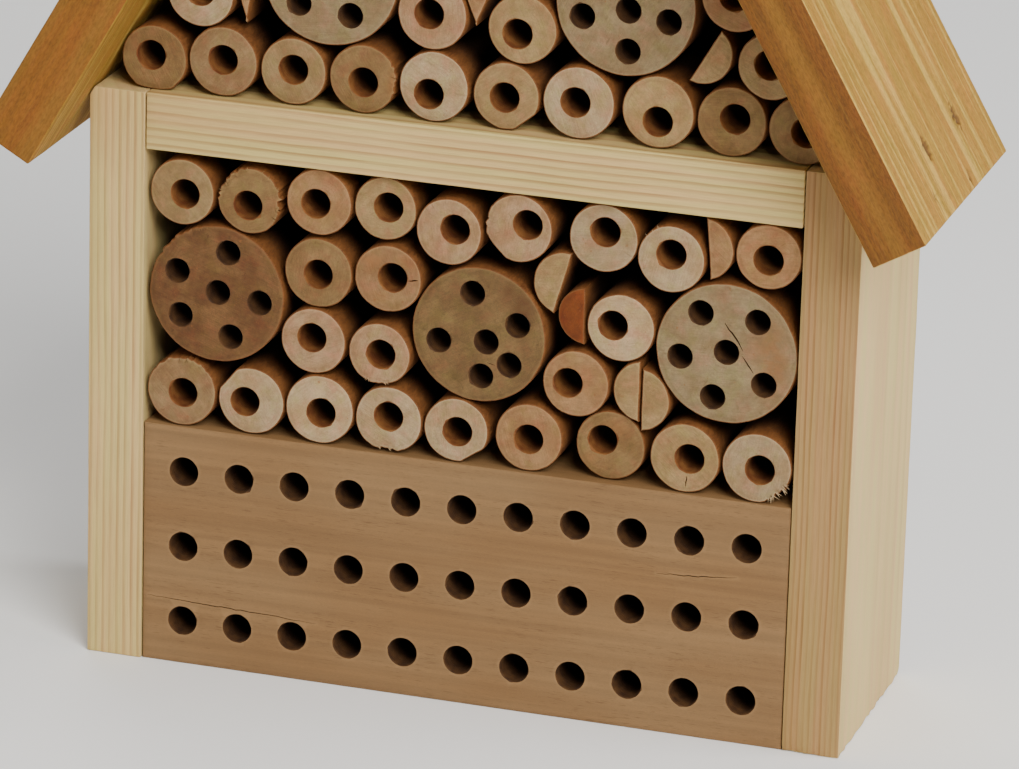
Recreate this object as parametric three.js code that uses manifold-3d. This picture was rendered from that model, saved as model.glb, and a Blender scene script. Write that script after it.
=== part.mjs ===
// A free-standing insect hotel: a small house of planed pine boards with a drilled beech block at
// the bottom and short drilled logs packed above it, up into the gable.
// Millimetres. +Z is up, +Y points to the back, and the origin is the middle of the footprint of
// the whole object, roof included, on the ground.
import * as THREE from 'three';
import { mergeVertices } from 'three/addons/utils/BufferGeometryUtils.js';
import Module from 'manifold-3d';

const wasm = await Module();
wasm.setup();

// ---------------------------------------------------------------- driving dimensions
const board = 18;               // thickness of the planed posts, crossbar and roof boards
const gap = 0.3;                // clearance between neighbouring pieces
const bodyWidth = 243;          // over the two posts
const postHeight = 184;
const roofDepth = 100;          // width of the roof boards, front to back
const roofOverhang = 26;        // roof in front of the posts
const roofPitch = Math.PI / 3;  // 60 degrees: the gable is an equilateral triangle
const roofSeat = 120.3;         // half width of the roof's underside, level with the post tops
const eaveHeight = 165;         // lower inner edge of the roof boards
const panelThickness = 5;

const blockHeight = 78;
const blockRecess = 0.6;
const blockColumns = 11;
const blockRows = 3;
const columnPitch = 18;
const rowPitch = 24.6;
const lowestRow = 14.2;

const bore = 9;                 // nest hole of the block and of the stems
const discBore = 7.5;           // nest hole of the thick discs
const boreDepth = 60;
const stemSides = 16;
const discSides = 28;
const boreSides = 10;

// ---------------------------------------------------------------- worked out from them
const outer = bodyWidth / 2;
const inner = outer - board;
const roofFront = -roofDepth / 2;
const back = roofDepth / 2;
const front = roofFront + roofOverhang;
const fillBack = back - panelThickness - gap;
const crossbarBase = postHeight - board;
const slope = Math.tan(roofPitch);
const undersideHeight = (x) => postHeight + (roofSeat - Math.abs(x)) * slope;

// ---------------------------------------------------------------- finishes
const finish = (color, roughness = 0.75) =>
  new THREE.MeshStandardMaterial({ color, roughness, metalness: 0 });
const pine = finish(0xdcc49a);
const beech = finish(0xb98b66);
const stainedPine = finish(0xb9762f, 0.6);
const plywood = finish(0xc9ab7c);
const paleLog = finish(0xdcb58c);
const tanLog = finish(0xc79a6c);
const brownLog = finish(0xa57c54);
const redLog = finish(0xc07038);

// ---------------------------------------------------------------- solids
// A closed three.js geometry becomes a solid that can be joined and cut, and back again.
function solid(geometry) {
  const bare = geometry.clone();
  bare.deleteAttribute('normal');
  bare.deleteAttribute('uv');
  const merged = mergeVertices(bare, 1e-4);
  return new wasm.Manifold(new wasm.Mesh({
    numProp: 3,
    vertProperties: Float32Array.from(merged.attributes.position.array),
    triVerts: Uint32Array.from(merged.index.array),
  }));
}

function geometryOf(manifold) {
  const mesh = manifold.getMesh();
  const geometry = new THREE.BufferGeometry();
  geometry.setAttribute('position', new THREE.BufferAttribute(mesh.vertProperties, 3));
  geometry.setIndex(new THREE.BufferAttribute(mesh.triVerts, 1));
  geometry.computeVertexNormals();
  return geometry;
}

// An outline drawn in X and Z, seen from the front, and pushed back from y = from to y = to.
function prism(shape, from, to, curveSegments = 1) {
  const geometry = new THREE.ExtrudeGeometry(shape, {
    depth: to - from,
    bevelEnabled: false,
    curveSegments,
  });
  geometry.rotateX(Math.PI / 2);
  geometry.translate(0, to, 0);
  return geometry;
}

function polygon(points) {
  return new THREE.Shape(points.map(([x, z]) => new THREE.Vector2(x, z)));
}

function slab(x0, x1, y0, y1, z0, z1) {
  const geometry = new THREE.BoxGeometry(x1 - x0, y1 - y0, z1 - z0);
  geometry.translate((x0 + x1) / 2, (y0 + y1) / 2, (z0 + z1) / 2);
  return geometry;
}

// A round outline whose flats face 0, 360 / sides ... degrees.
function roundOutline(radius, sides, x = 0, z = 0) {
  const points = [];
  for (let i = 0; i < sides; i += 1) {
    const angle = (2 * Math.PI * (i + 0.5)) / sides;
    points.push([x + radius * Math.cos(angle), z + radius * Math.sin(angle)]);
  }
  return polygon(points);
}

// The part of a round that bulges past a chord: its chord's middle is at the origin.
function splitOutline(chord, bulge, towards, segments = 9) {
  const radius = (chord ** 2 / 4 + bulge ** 2) / (2 * bulge);
  const half = Math.acos((radius - bulge) / radius);
  const turn = THREE.MathUtils.degToRad(towards);
  const points = [];
  for (let i = 0; i <= segments; i += 1) {
    const angle = turn - half + (2 * half * i) / segments;
    points.push([
      radius * Math.cos(angle) - (radius - bulge) * Math.cos(turn),
      radius * Math.sin(angle) - (radius - bulge) * Math.sin(turn),
    ]);
  }
  return polygon(points);
}

// A split wedge: its sharp edge at the origin, its rounded bark side away from it.
function wedgeOutline(length, towards, halfAngle, segments = 4) {
  const points = [[0, 0]];
  for (let i = 0; i <= segments; i += 1) {
    const angle = THREE.MathUtils.degToRad(towards - halfAngle + (2 * halfAngle * i) / segments);
    points.push([length * Math.cos(angle), length * Math.sin(angle)]);
  }
  return polygon(points);
}

// A blind nest hole drilled from in front of y = mouth.
function drill(diameter, x, z, mouth) {
  const length = boreDepth + 5;
  const geometry = new THREE.CylinderGeometry(diameter / 2, diameter / 2, length, boreSides);
  geometry.translate(x, mouth - 5 + length / 2, z);
  return solid(geometry);
}

// ---------------------------------------------------------------- assembly
const insectHotel = new THREE.Group();

function add(name, geometry, material, x = 0, z = 0) {
  const mesh = new THREE.Mesh(geometry, material);
  mesh.name = name;
  mesh.position.set(x, 0, z);
  insectHotel.add(mesh);
}

// A log of any outline, drilled or not, with its axis at x, z and its face set back a little.
function addLog(name, shape, x, z, { setBack = 1.5, holes = [], material = paleLog } = {}) {
  const face = front + setBack;
  let log = solid(prism(shape, face, fillBack));
  for (const hole of holes) {
    log = log.subtract(drill(hole.diameter, hole.x, hole.z, face));
  }
  add(name, geometryOf(log), material, x, z);
}

const stemHole = (x, z) => [{ diameter: bore, x, z }];

function discHoles(ringRadius, degrees, middle) {
  const holes = degrees.map((turn) => {
    const angle = THREE.MathUtils.degToRad(turn);
    return {
      diameter: discBore,
      x: ringRadius * Math.cos(angle),
      z: ringRadius * Math.sin(angle),
    };
  });
  holes.push({ diameter: discBore, x: middle[0], z: middle[1] });
  return holes;
}

// Posts: the outer top edge is planed to the roof's slope, so that the roof seats on it.
const chamferHeight = undersideHeight(outer) - gap / Math.cos(roofPitch);
const chamferWidth = (postHeight - chamferHeight) / slope;
const postOutline = (side) => polygon([
  [side * inner, 0],
  [side * outer, 0],
  [side * outer, chamferHeight],
  [side * (outer - chamferWidth), postHeight],
  [side * inner, postHeight],
]);
add('left_post', prism(postOutline(-1), front, back), pine);
add('right_post', prism(postOutline(1), front, back), pine);
add('crossbar', slab(gap - inner, inner - gap, front, fillBack, crossbarBase, postHeight), pine);

// Drilled nest block, between the feet of the posts.
const blockFace = front + blockRecess;
let block = solid(slab(gap - inner, inner - gap, blockFace, fillBack, 0, blockHeight));
for (let row = 0; row < blockRows; row += 1) {
  for (let column = 0; column < blockColumns; column += 1) {
    const x = (column - (blockColumns - 1) / 2) * columnPitch;
    block = block.subtract(drill(bore, x, lowestRow + row * rowPitch, blockFace));
  }
}
add('nest_block', geometryOf(block), beech);

// Roof boards: square-cut eaves, and a mitre at the ridge.
function roofOutline(side) {
  const lift = board / Math.cos(roofPitch);
  const eaveX = roofSeat + (postHeight - eaveHeight) / slope;
  const ridgeX = gap / 2;
  return polygon([
    [side * eaveX, eaveHeight],
    [side * (eaveX + board * Math.sin(roofPitch)), eaveHeight + board * Math.cos(roofPitch)],
    [side * ridgeX, undersideHeight(ridgeX) + lift],
    [side * ridgeX, undersideHeight(ridgeX)],
  ]);
}
add('left_roof_board', prism(roofOutline(-1), roofFront, back), stainedPine);
add('right_roof_board', prism(roofOutline(1), roofFront, back), stainedPine);

// Back panel: let in between the posts, with a gable that stands on the post tops.
const panelSeat = roofSeat - gap / Math.sin(roofPitch) - gap / slope;
const panelPeak = undersideHeight(0) - gap / Math.cos(roofPitch);
add('back_panel', prism(polygon([
  [gap - inner, 0],
  [inner - gap, 0],
  [inner - gap, postHeight + gap],
  [panelSeat, postHeight + gap],
  [0, panelPeak],
  [-panelSeat, postHeight + gap],
  [gap - inner, postHeight + gap],
]), back - panelThickness, back), plywood);

// ---------------------------------------------------------------- how the logs are laid
// Stems of a row lie side by side. Every other log is let down at its x until it rests on the logs
// laid before it, and a few are jammed higher than that. Sizes are whole and half millimetres.
const pile = [];

function addStem(name, x, z, diameter, hole, setBack) {
  pile.push({ x, z, radius: diameter / 2 });
  addLog(name, roundOutline(diameter / 2, stemSides), x, z, { setBack, holes: stemHole(...hole) });
}

// Each stem of a row: the space before it, its diameter, its hole off centre by x and z, how far its
// face is set back, and how far it sags below the board above it.
function addRow(prefix, start, stems, heightOf) {
  let edge = start;
  stems.forEach(([space, diameter, holeX, holeZ, setBack, sag = 0], i) => {
    const x = edge + space + diameter / 2;
    addStem(`${prefix}_${i + 1}`, x, heightOf(diameter / 2, sag), diameter, [holeX, holeZ], setBack);
    edge = x + diameter / 2;
  });
}
const standingOn = (floor) => (radius) => floor + gap + radius;
const hangingBelow = (ceiling) => (radius, sag) => ceiling - gap - sag - radius;

function restingHeight(x, diameter) {
  let z = 0;
  for (const under of pile) {
    const reach = diameter / 2 + under.radius + gap;
    const across = Math.abs(x - under.x);
    if (across < reach) {
      z = Math.max(z, under.z + Math.sqrt(reach ** 2 - across ** 2));
    }
  }
  return z;
}

function layStem(name, x, diameter, hole, setBack, lift = 0) {
  addStem(name, x, restingHeight(x, diameter) + lift, diameter, hole, setBack);
}

// A thick disc has one hole near its middle and a ring of others at the given degrees.
function layDisc(name, x, diameter, ringRadius, degrees, middle, setBack, lift = 0) {
  const z = restingHeight(x, diameter) + lift;
  pile.push({ x, z, radius: diameter / 2 });
  addLog(name, roundOutline(diameter / 2, discSides), x, z, {
    setBack,
    holes: discHoles(ringRadius, degrees, middle),
    material: brownLog,
  });
}

// A split log: the middle of its chord, the chord, its bulge, and the bulge's direction in degrees.
function addSplit(name, x, z, chord, bulge, towards, setBack, material = tanLog) {
  addLog(name, splitOutline(chord, bulge, towards), x, z, { setBack, material });
}

// ---------------------------------------------------------------- logs of the main compartment
addRow('lower_stem', -inner, [
  [1, 22.5, 0.5, -0.5, 1],
  [0.5, 21.5, -2, -0.5, 1.5],
  [0.5, 22, 0.5, -1, 1],
  [0.5, 21.5, 0, 1, 1],
  [0.5, 20.5, 0.5, -0.5, 1],
  [2, 21.5, 0, -0.5, 1.5],
  [3.5, 22, -2.5, 1.5, 3.5],
  [2, 22, 1.5, 0, 1],
  [0.5, 22, 1, -0.5, 0.5],
], standingOn(blockHeight));

layStem('middle_stem_4', -49, 21, [-0.5, 1], 1.5);
layStem('middle_stem_5', -27.5, 20, [0.5, 0], 0.5);
layStem('middle_stem_6', 34.5, 21, [-2.5, 0], 1.5);
layDisc('left_disc', -80.5, 43.5, 14, [75, 155, 215, 290, 355], [0.5, 0.5], 1.5, 1);
layDisc('middle_disc', 3.5, 42.5, 13, [20, 100, 195, 275, 320], [2.5, -2], 1.5);
layDisc('right_disc', 81, 44, 14.5, [50, 125, 190, 255, 325], [0, 0.5], 1.5, 3);
layStem('middle_stem_1', -48, 22, [0, -0.5], 2);
layStem('middle_stem_2', -25.5, 21.5, [1.5, 0.5], 1);
layStem('middle_stem_3', 48, 21.5, [-2.5, 0.5], 1.5, 2);

addRow('upper_stem', -inner, [
  [1, 21, 1, -0.5, 1.5, 2],
  [1, 21, -0.5, -1.5, 1, 2],
  [1, 21, -1, -0.5, 1.5],
  [0.5, 20, 1, 0.5, 2],
  [0, 21, 2, 1, 1, 4],
  [0.5, 21.5, 3, 1.5, 1],
  [5, 21.5, 0.5, 2, 1.5],
  [0, 21, 0, 1.5, 1, 4],
  [9, 20.5, 0, -1, 1.5],
], hangingBelow(crossbarBase));

addSplit('split_log_1', 29.5, 139, 20.5, 9.5, 165, 2);
addSplit('split_log_2', 36.5, 129.5, 18, 8.5, 180, 2, redLog);
addSplit('split_log_3', 74, 155.5, 19.5, 8, 5, 2);
addSplit('split_log_4', 54.5, 108, 19.5, 8.5, 180, 2);
addSplit('split_log_5', 55, 105.5, 20, 9, 0, 2);

// ---------------------------------------------------------------- logs of the gable
// The first log is planed flat underneath, where it stands on the left post.
const cornerX = -102;
const cornerRadius = 10.5;
const cornerDrop = 9.5;
addLog('gable_corner_stem',
  splitOutline(2 * Math.sqrt(cornerRadius ** 2 - cornerDrop ** 2), cornerRadius + cornerDrop, 90, 15),
  cornerX, postHeight + gap, { setBack: 3.5, holes: stemHole(-1, cornerDrop + 1) });
pile.push({ x: cornerX, z: postHeight + gap + cornerDrop, radius: cornerRadius });

addRow('gable_row_stem', cornerX + cornerRadius, [
  [0.5, 22, 0, 0.5, 3.5],
  [1, 21, 0, 0.5, 3.5],
  [1, 21.5, 0, -1, 3],
  [0.5, 22, -1.5, -2.5, 3],
  [1, 21, -0.5, -0.5, 3.5],
  [1, 22.5, -1, 0, 3],
  [2, 22.5, 0, -3, 3],
  [0.5, 21.5, 1, 1, 3.5],
  [0.5, 21, 1, -0.5, 3.5],
], standingOn(postHeight));

layStem('gable_stem_1', -87.5, 21.5, [0, 0.5], 3.5);
layStem('gable_stem_3', -14, 22, [-1, 0], 3);
layStem('gable_stem_4', 14, 21.5, [-1.5, -1.5], 3.5);
layStem('gable_stem_6', 90.5, 20.5, [-0.5, 0.5], 3.5);
layDisc('gable_left_disc', -46.5, 43.5, 13.5, [15, 85, 160, 225, 300], [-1, 1], 3.5);
layDisc('gable_right_disc', 45.5, 43.5, 14, [60, 130, 200, 275, 345], [1, -1.5], 3.5);
layStem('gable_stem_2', -76.5, 20.5, [0.5, -0.5], 3);
layStem('gable_stem_5', 79, 21, [-0.5, 0.5], 3.5, 2);

addSplit('gable_split_log', 70, 214, 19, 8.5, -30, 4.5);
addLog('gable_wedge', wedgeOutline(18.5, 95, 13), -73, 207.5, { setBack: 5, material: tanLog });

// The top of the gable is packed in rows of seven to one, as round logs pack between boards at
// 60 degrees. The logs touch along their flats, so the pack is one solid.
const packPitch = 21;
const packRows = 7;
const packApothem = packPitch / 2 + 0.1;
const packSides = 12;
const packRadius = packApothem / Math.cos(Math.PI / packSides);
const packRise = packPitch * Math.sin(roofPitch);
const packPeak = undersideHeight(0) - (packApothem + gap) / Math.cos(roofPitch);
const packFace = front + 3.5;

const packPlaces = [];
for (let row = 0; row < packRows; row += 1) {
  for (let i = 0; i <= row; i += 1) {
    packPlaces.push([(i - row / 2) * packPitch, packPeak - row * packRise]);
  }
}
// Two more hang into the hollow between the gable's discs.
for (const side of [-1, 1]) {
  packPlaces.push([(side * packPitch) / 2, packPeak - packRows * packRise]);
}
// So does a split wedge, with its sharp edge down between two stems.
let pack = solid(prism(wedgeOutline(22, 90, 22), packFace, fillBack).translate(-0.5, 0, 215));
for (const [x, z] of packPlaces) {
  pack = pack.add(solid(prism(roundOutline(packRadius, packSides, x, z), packFace, fillBack)));
}
for (const [x, z] of packPlaces) {
  pack = pack.subtract(drill(bore, x, z, packFace));
}
add('gable_top_logs', geometryOf(pack), tanLog);

export default insectHotel;
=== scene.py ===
# Looks of the insect hotel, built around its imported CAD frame. Metres, +Z up, +Y to the back.
import math
import random

import bmesh
import bpy
from mathutils import Matrix, Vector, noise
from mathutils.geometry import delaunay_2d_cdt
from mathutils.kdtree import KDTree


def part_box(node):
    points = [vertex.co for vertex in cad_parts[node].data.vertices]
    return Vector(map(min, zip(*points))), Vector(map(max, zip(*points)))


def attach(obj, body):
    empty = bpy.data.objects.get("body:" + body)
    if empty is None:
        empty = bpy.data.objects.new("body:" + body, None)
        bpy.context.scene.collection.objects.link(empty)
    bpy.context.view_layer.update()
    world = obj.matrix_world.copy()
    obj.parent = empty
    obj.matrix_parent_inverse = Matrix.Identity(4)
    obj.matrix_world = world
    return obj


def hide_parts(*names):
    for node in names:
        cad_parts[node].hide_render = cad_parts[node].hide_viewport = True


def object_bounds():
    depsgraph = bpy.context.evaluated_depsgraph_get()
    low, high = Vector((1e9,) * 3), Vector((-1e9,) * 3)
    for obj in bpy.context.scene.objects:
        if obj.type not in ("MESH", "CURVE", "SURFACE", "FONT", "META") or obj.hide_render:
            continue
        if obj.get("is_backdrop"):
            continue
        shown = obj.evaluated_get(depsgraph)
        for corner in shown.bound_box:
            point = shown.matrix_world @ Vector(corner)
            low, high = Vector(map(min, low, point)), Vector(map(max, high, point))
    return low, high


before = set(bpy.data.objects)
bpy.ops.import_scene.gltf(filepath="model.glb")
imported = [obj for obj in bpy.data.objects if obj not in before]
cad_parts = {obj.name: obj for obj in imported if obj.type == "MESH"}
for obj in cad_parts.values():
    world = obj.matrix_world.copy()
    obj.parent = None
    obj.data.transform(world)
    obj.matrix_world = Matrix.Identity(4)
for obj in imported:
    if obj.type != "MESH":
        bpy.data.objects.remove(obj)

MM = 0.001
CAD_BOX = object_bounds()

# ---------------- camera, floor and light
CAMERA_PLACE = (0.5498, -1.7615, 0.7422)
CAMERA_AZIMUTH = 17.13
CAMERA_ELEVATION = 19.29
CAMERA_ROLL = 1.62
LENS = 226
SENSOR = 36


def add_object(name, data):
    made = bpy.data.objects.new(name, data)
    bpy.context.scene.collection.objects.link(made)
    return made


def turned(axis, degrees):
    return Matrix.Rotation(math.radians(degrees), 4, axis)


def add_camera():
    data = bpy.data.cameras.new("camera")
    data.lens = LENS
    data.sensor_width = SENSOR
    data.clip_end = 20
    camera = add_object("camera", data)
    camera.matrix_world = (
        Matrix.Translation(CAMERA_PLACE)
        @ turned("Z", CAMERA_AZIMUTH)
        @ turned("X", 90 - CAMERA_ELEVATION)
        @ turned("Z", CAMERA_ROLL)
    )
    bpy.context.scene.camera = camera


def add_soft_light(name, place, target, size, watts, colour):
    data = bpy.data.lights.new(name, "AREA")
    data.shape = "DISK"
    data.size = size
    data.energy = watts
    data.color = colour
    light = add_object(name, data)
    aim = Vector(target) - Vector(place)
    light.matrix_world = (
        Matrix.Translation(place) @ aim.to_track_quat("-Z", "Y").to_matrix().to_4x4()
    )


def add_surroundings():
    world = bpy.data.worlds.new("studio")
    world.use_nodes = True
    background = world.node_tree.nodes["Background"]
    background.inputs["Color"].default_value = (1, 0.99, 0.97, 1)
    background.inputs["Strength"].default_value = 0.24
    bpy.context.scene.world = world

    middle = (0, 0, 0.2)
    add_soft_light("key", (1.5, -1.8, 1.9), middle, 1.7, 112, (1, 0.985, 0.96))
    add_soft_light("side", (2.2, 0.3, 1.0), middle, 1.2, 36, (1, 0.99, 0.98))
    add_soft_light("fill", (-1.8, -2.0, 0.9), middle, 1.6, 14, (0.98, 0.99, 1))
    add_soft_light("back", (-1.3, 2.4, 1.5), middle, 2.2, 30, (1, 0.99, 0.98))

    mesh = bpy.data.meshes.new("floor")
    reach = 6
    corners = [(-reach, -reach, 0), (reach, -reach, 0), (reach, reach, 0), (-reach, reach, 0)]
    mesh.from_pydata(corners, [], [(0, 1, 2, 3)])
    material = bpy.data.materials.new("floor")
    material.use_nodes = True
    shader = material.node_tree.nodes["Principled BSDF"]
    shader.inputs["Base Color"].default_value = (0.93, 0.93, 0.92, 1)
    shader.inputs["Roughness"].default_value = 0.9
    mesh.materials.append(material)
    add_object("floor", mesh)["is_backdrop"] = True


# ---------------- node trees
class Tree:
    """A material's nodes, and short ways to add them."""

    def __init__(self, name):
        self.material = bpy.data.materials.new(name)
        self.material.use_nodes = True
        self.nodes = self.material.node_tree.nodes
        self.links = self.material.node_tree.links
        self.shader = self.nodes["Principled BSDF"]

    def put(self, socket, value):
        if isinstance(value, bpy.types.NodeSocket):
            self.links.new(value, socket)
        elif isinstance(value, tuple) and len(value) == 3 and socket.type == "RGBA":
            socket.default_value = (*value, 1)
        else:
            socket.default_value = value

    def maths(self, operation, a, b=0.0):
        node = self.nodes.new("ShaderNodeMath")
        node.operation = operation
        for socket, value in zip(node.inputs, (a, b)):
            self.put(socket, value)
        return node.outputs[0]

    def product(self, a, b):
        return self.maths("MULTIPLY", a, b)

    def total(self, a, b):
        return self.maths("ADD", a, b)

    def vector(self, operation, a, b=(0.0, 0.0, 0.0)):
        node = self.nodes.new("ShaderNodeVectorMath")
        node.operation = operation
        self.put(node.inputs[0], a)
        self.put(node.inputs[1], b)
        return node.outputs["Value" if operation == "LENGTH" else "Vector"]

    def combine(self, x, y, z=0.0):
        node = self.nodes.new("ShaderNodeCombineXYZ")
        for socket, value in zip(node.inputs, (x, y, z)):
            self.put(socket, value)
        return node.outputs[0]

    def separate(self, vector):
        node = self.nodes.new("ShaderNodeSeparateXYZ")
        self.put(node.inputs[0], vector)
        return node.outputs[0], node.outputs[1], node.outputs[2]

    def place(self):
        """The point in the piece's own frame, in millimetres."""
        coordinates = self.nodes.new("ShaderNodeTexCoord").outputs["Object"]
        return self.vector("MULTIPLY", coordinates, (1000.0, 1000.0, 1000.0))

    def noise(self, vector, scale=1.0, detail=2.0, roughness=0.5, shift=0.0):
        node = self.nodes.new("ShaderNodeTexNoise")
        node.noise_dimensions = "4D"
        self.put(node.inputs["Vector"], vector)
        self.put(node.inputs["W"], shift)
        self.put(node.inputs["Scale"], scale)
        self.put(node.inputs["Detail"], detail)
        self.put(node.inputs["Roughness"], roughness)
        return node.outputs[0]

    def stretched(self, vector, scales, **settings):
        """Noise of a different fineness along each axis: cycles per millimetre."""
        return self.noise(self.vector("MULTIPLY", vector, scales), **settings)

    def ramp(self, factor, stops, smooth=True):
        node = self.nodes.new("ShaderNodeValToRGB")
        node.color_ramp.interpolation = "EASE" if smooth else "LINEAR"
        elements = node.color_ramp.elements
        while len(elements) < len(stops):
            elements.new(0.5)
        for element, (at, value) in zip(elements, stops):
            element.position = at
            grey = isinstance(value, (int, float))
            element.color = (value, value, value, 1) if grey else (*value, 1)
        self.put(node.inputs[0], factor)
        return node.outputs[0]

    def mix(self, factor, a, b, blend="MIX"):
        node = self.nodes.new("ShaderNodeMix")
        node.data_type = "RGBA"
        node.blend_type = blend
        self.put(node.inputs["Factor"], factor)
        self.put(node.inputs[6], a)
        self.put(node.inputs[7], b)
        return node.outputs[2]

    def times(self, colour, tone):
        return self.mix(1.0, colour, tone, "MULTIPLY")

    def painted_depth_shade(self, point, reach, least):
        """Painted shade: full tone at a log's sawn face, falling to the least tone at a depth in
        millimetres.
        """
        depth = self.maths("DIVIDE", self.separate(point)[1], reach)
        return self.ramp(depth, [(0.0, 1.0), (1.0, least)])

    def attribute(self, name):
        node = self.nodes.new("ShaderNodeAttribute")
        node.attribute_name = name
        return node.outputs["Fac"]

    def finish(self, colour, roughness, height, bump=0.0002):
        self.put(self.shader.inputs["Base Color"], colour)
        self.put(self.shader.inputs["Roughness"], roughness)
        self.shader.inputs["Specular IOR Level"].default_value = 0.3
        node = self.nodes.new("ShaderNodeBump")
        node.inputs["Strength"].default_value = 0.6
        node.inputs["Distance"].default_value = bump
        self.put(node.inputs["Height"], height)
        self.put(self.shader.inputs["Normal"], node.outputs[0])
        return self.material


def shade(colour, by):
    return tuple(min(1.0, c * by) for c in colour)


def grain_frame(tree, grain):
    """The point as (across, across, along the grain), in millimetres."""
    x, y, z = tree.separate(tree.place())
    order = {"X": (y, z, x), "Y": (x, z, y), "Z": (x, y, z)}[grain]
    return tree.combine(*order)


def growth_rings(tree, point, pith, spacing, waviness, seed):
    """Distance from the pith, counted in rings: whole numbers fall on the dark late wood."""
    across = tree.vector("MULTIPLY", point, (1.0, 1.0, 0.0))
    radius = tree.vector("LENGTH", tree.vector("SUBTRACT", across, (*pith, 0.0)))
    sway = tree.stretched(point, (0.03, 0.03, 0.006), detail=2.0, shift=seed)
    tremble = tree.stretched(point, (0.25, 0.25, 0.03), detail=2.0, shift=seed + 3.1)
    offset = tree.product(tree.maths("SUBTRACT", sway, 0.5), waviness)
    small = tree.product(tree.maths("SUBTRACT", tremble, 0.5), 0.14 * waviness)
    moved = tree.total(radius, tree.total(offset, small))
    return tree.maths("DIVIDE", moved, spacing)


def softwood(name, grain, pith, spacing, early, late, waviness=4.0, seed=1.0, contrast=1.0):
    """Planed pine: pale early wood, thin darker late wood, fine fibres and a slow colour drift."""
    tree = Tree(name)
    point = grain_frame(tree, grain)
    rings = growth_rings(tree, point, pith, spacing, waviness, seed)
    phase = tree.maths("FRACT", rings)
    band = tree.ramp(phase, [(0.0, 0.5), (0.1, 0.0), (0.5, 0.06), (0.78, 0.75), (0.9, 1.0)])
    which = tree.noise(tree.combine(tree.maths("FLOOR", rings), 0.0), 3.7, 0.0, shift=seed)
    strength = tree.ramp(which, [(0.3, 0.5 * contrast), (0.7, contrast)])
    patchy = tree.stretched(point, (0.3, 0.3, 0.02), detail=2.0, shift=seed + 13.0)
    strength = tree.product(strength, tree.ramp(patchy, [(0.3, 0.45), (0.65, 1.0)]))
    colour = tree.mix(tree.product(band, strength), early, late)
    tint = tree.stretched(point, (0.22, 0.22, 0.012), detail=2.0, shift=seed + 17.0)
    tint = tree.ramp(tint, [(0.3, (0.96, 1.03, 0.94)), (0.7, (1.05, 0.95, 1.02))])
    colour = tree.times(colour, tint)

    drift = tree.stretched(point, (0.05, 0.05, 0.008), detail=3.0, shift=seed + 7.0)
    colour = tree.mix(tree.ramp(drift, [(0.4, 0.0), (0.75, 0.4)]), colour, shade(late, 1.15))
    fibre = tree.stretched(point, (5.0, 5.0, 0.12), detail=4.0, roughness=0.65, shift=seed)
    fibre_tone = tree.ramp(fibre, [(0.25, 0.8), (0.75, 1.1)], smooth=False)
    colour = tree.times(colour, fibre_tone)

    roughness = tree.ramp(fibre, [(0.3, 0.62), (0.7, 0.8)])
    height = tree.total(tree.product(band, 0.1), fibre)
    return tree, point, colour, roughness, height


def beech(name, early, late):
    """The drilled block: tan and close-grained, with short fine flecks along the grain."""
    tree = Tree(name)
    point = tree.place()
    cloud = tree.stretched(point, (0.012, 0.04, 0.05), detail=3.0, shift=4.0)
    colour = tree.mix(tree.ramp(cloud, [(0.3, 0.0), (0.7, 1.0)]), early, late)
    band = tree.stretched(point, (0.008, 0.3, 0.45), detail=3.0, shift=9.0)
    colour = tree.times(colour, tree.ramp(band, [(0.25, 0.86), (0.75, 1.1)]))
    fleck = tree.stretched(point, (0.25, 2.6, 3.2), detail=2.0, shift=2.0)
    dark = tree.ramp(fleck, [(0.56, 0.0), (0.7, 0.6)])
    patches = tree.stretched(point, (0.03, 0.08, 0.1), detail=1.0, shift=6.0)
    dark = tree.product(dark, tree.ramp(patches, [(0.38, 0.25), (0.62, 1.0)]))
    colour = tree.mix(dark, colour, shade(late, 0.5))
    pore = tree.stretched(point, (1.2, 9.0, 9.0), detail=2.0, shift=1.0)
    colour = tree.times(colour, tree.ramp(pore, [(0.3, 0.9), (0.7, 1.07)]))
    lip = tree.ramp(tree.attribute("lip"), [(0.55, 0.0), (1.0, 0.3)])
    colour = tree.mix(lip, colour, shade(early, 1.4))
    height = tree.product(pore, 0.6)
    return tree.finish(colour, tree.ramp(pore, [(0.3, 0.55), (0.7, 0.72)]), height)


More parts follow.
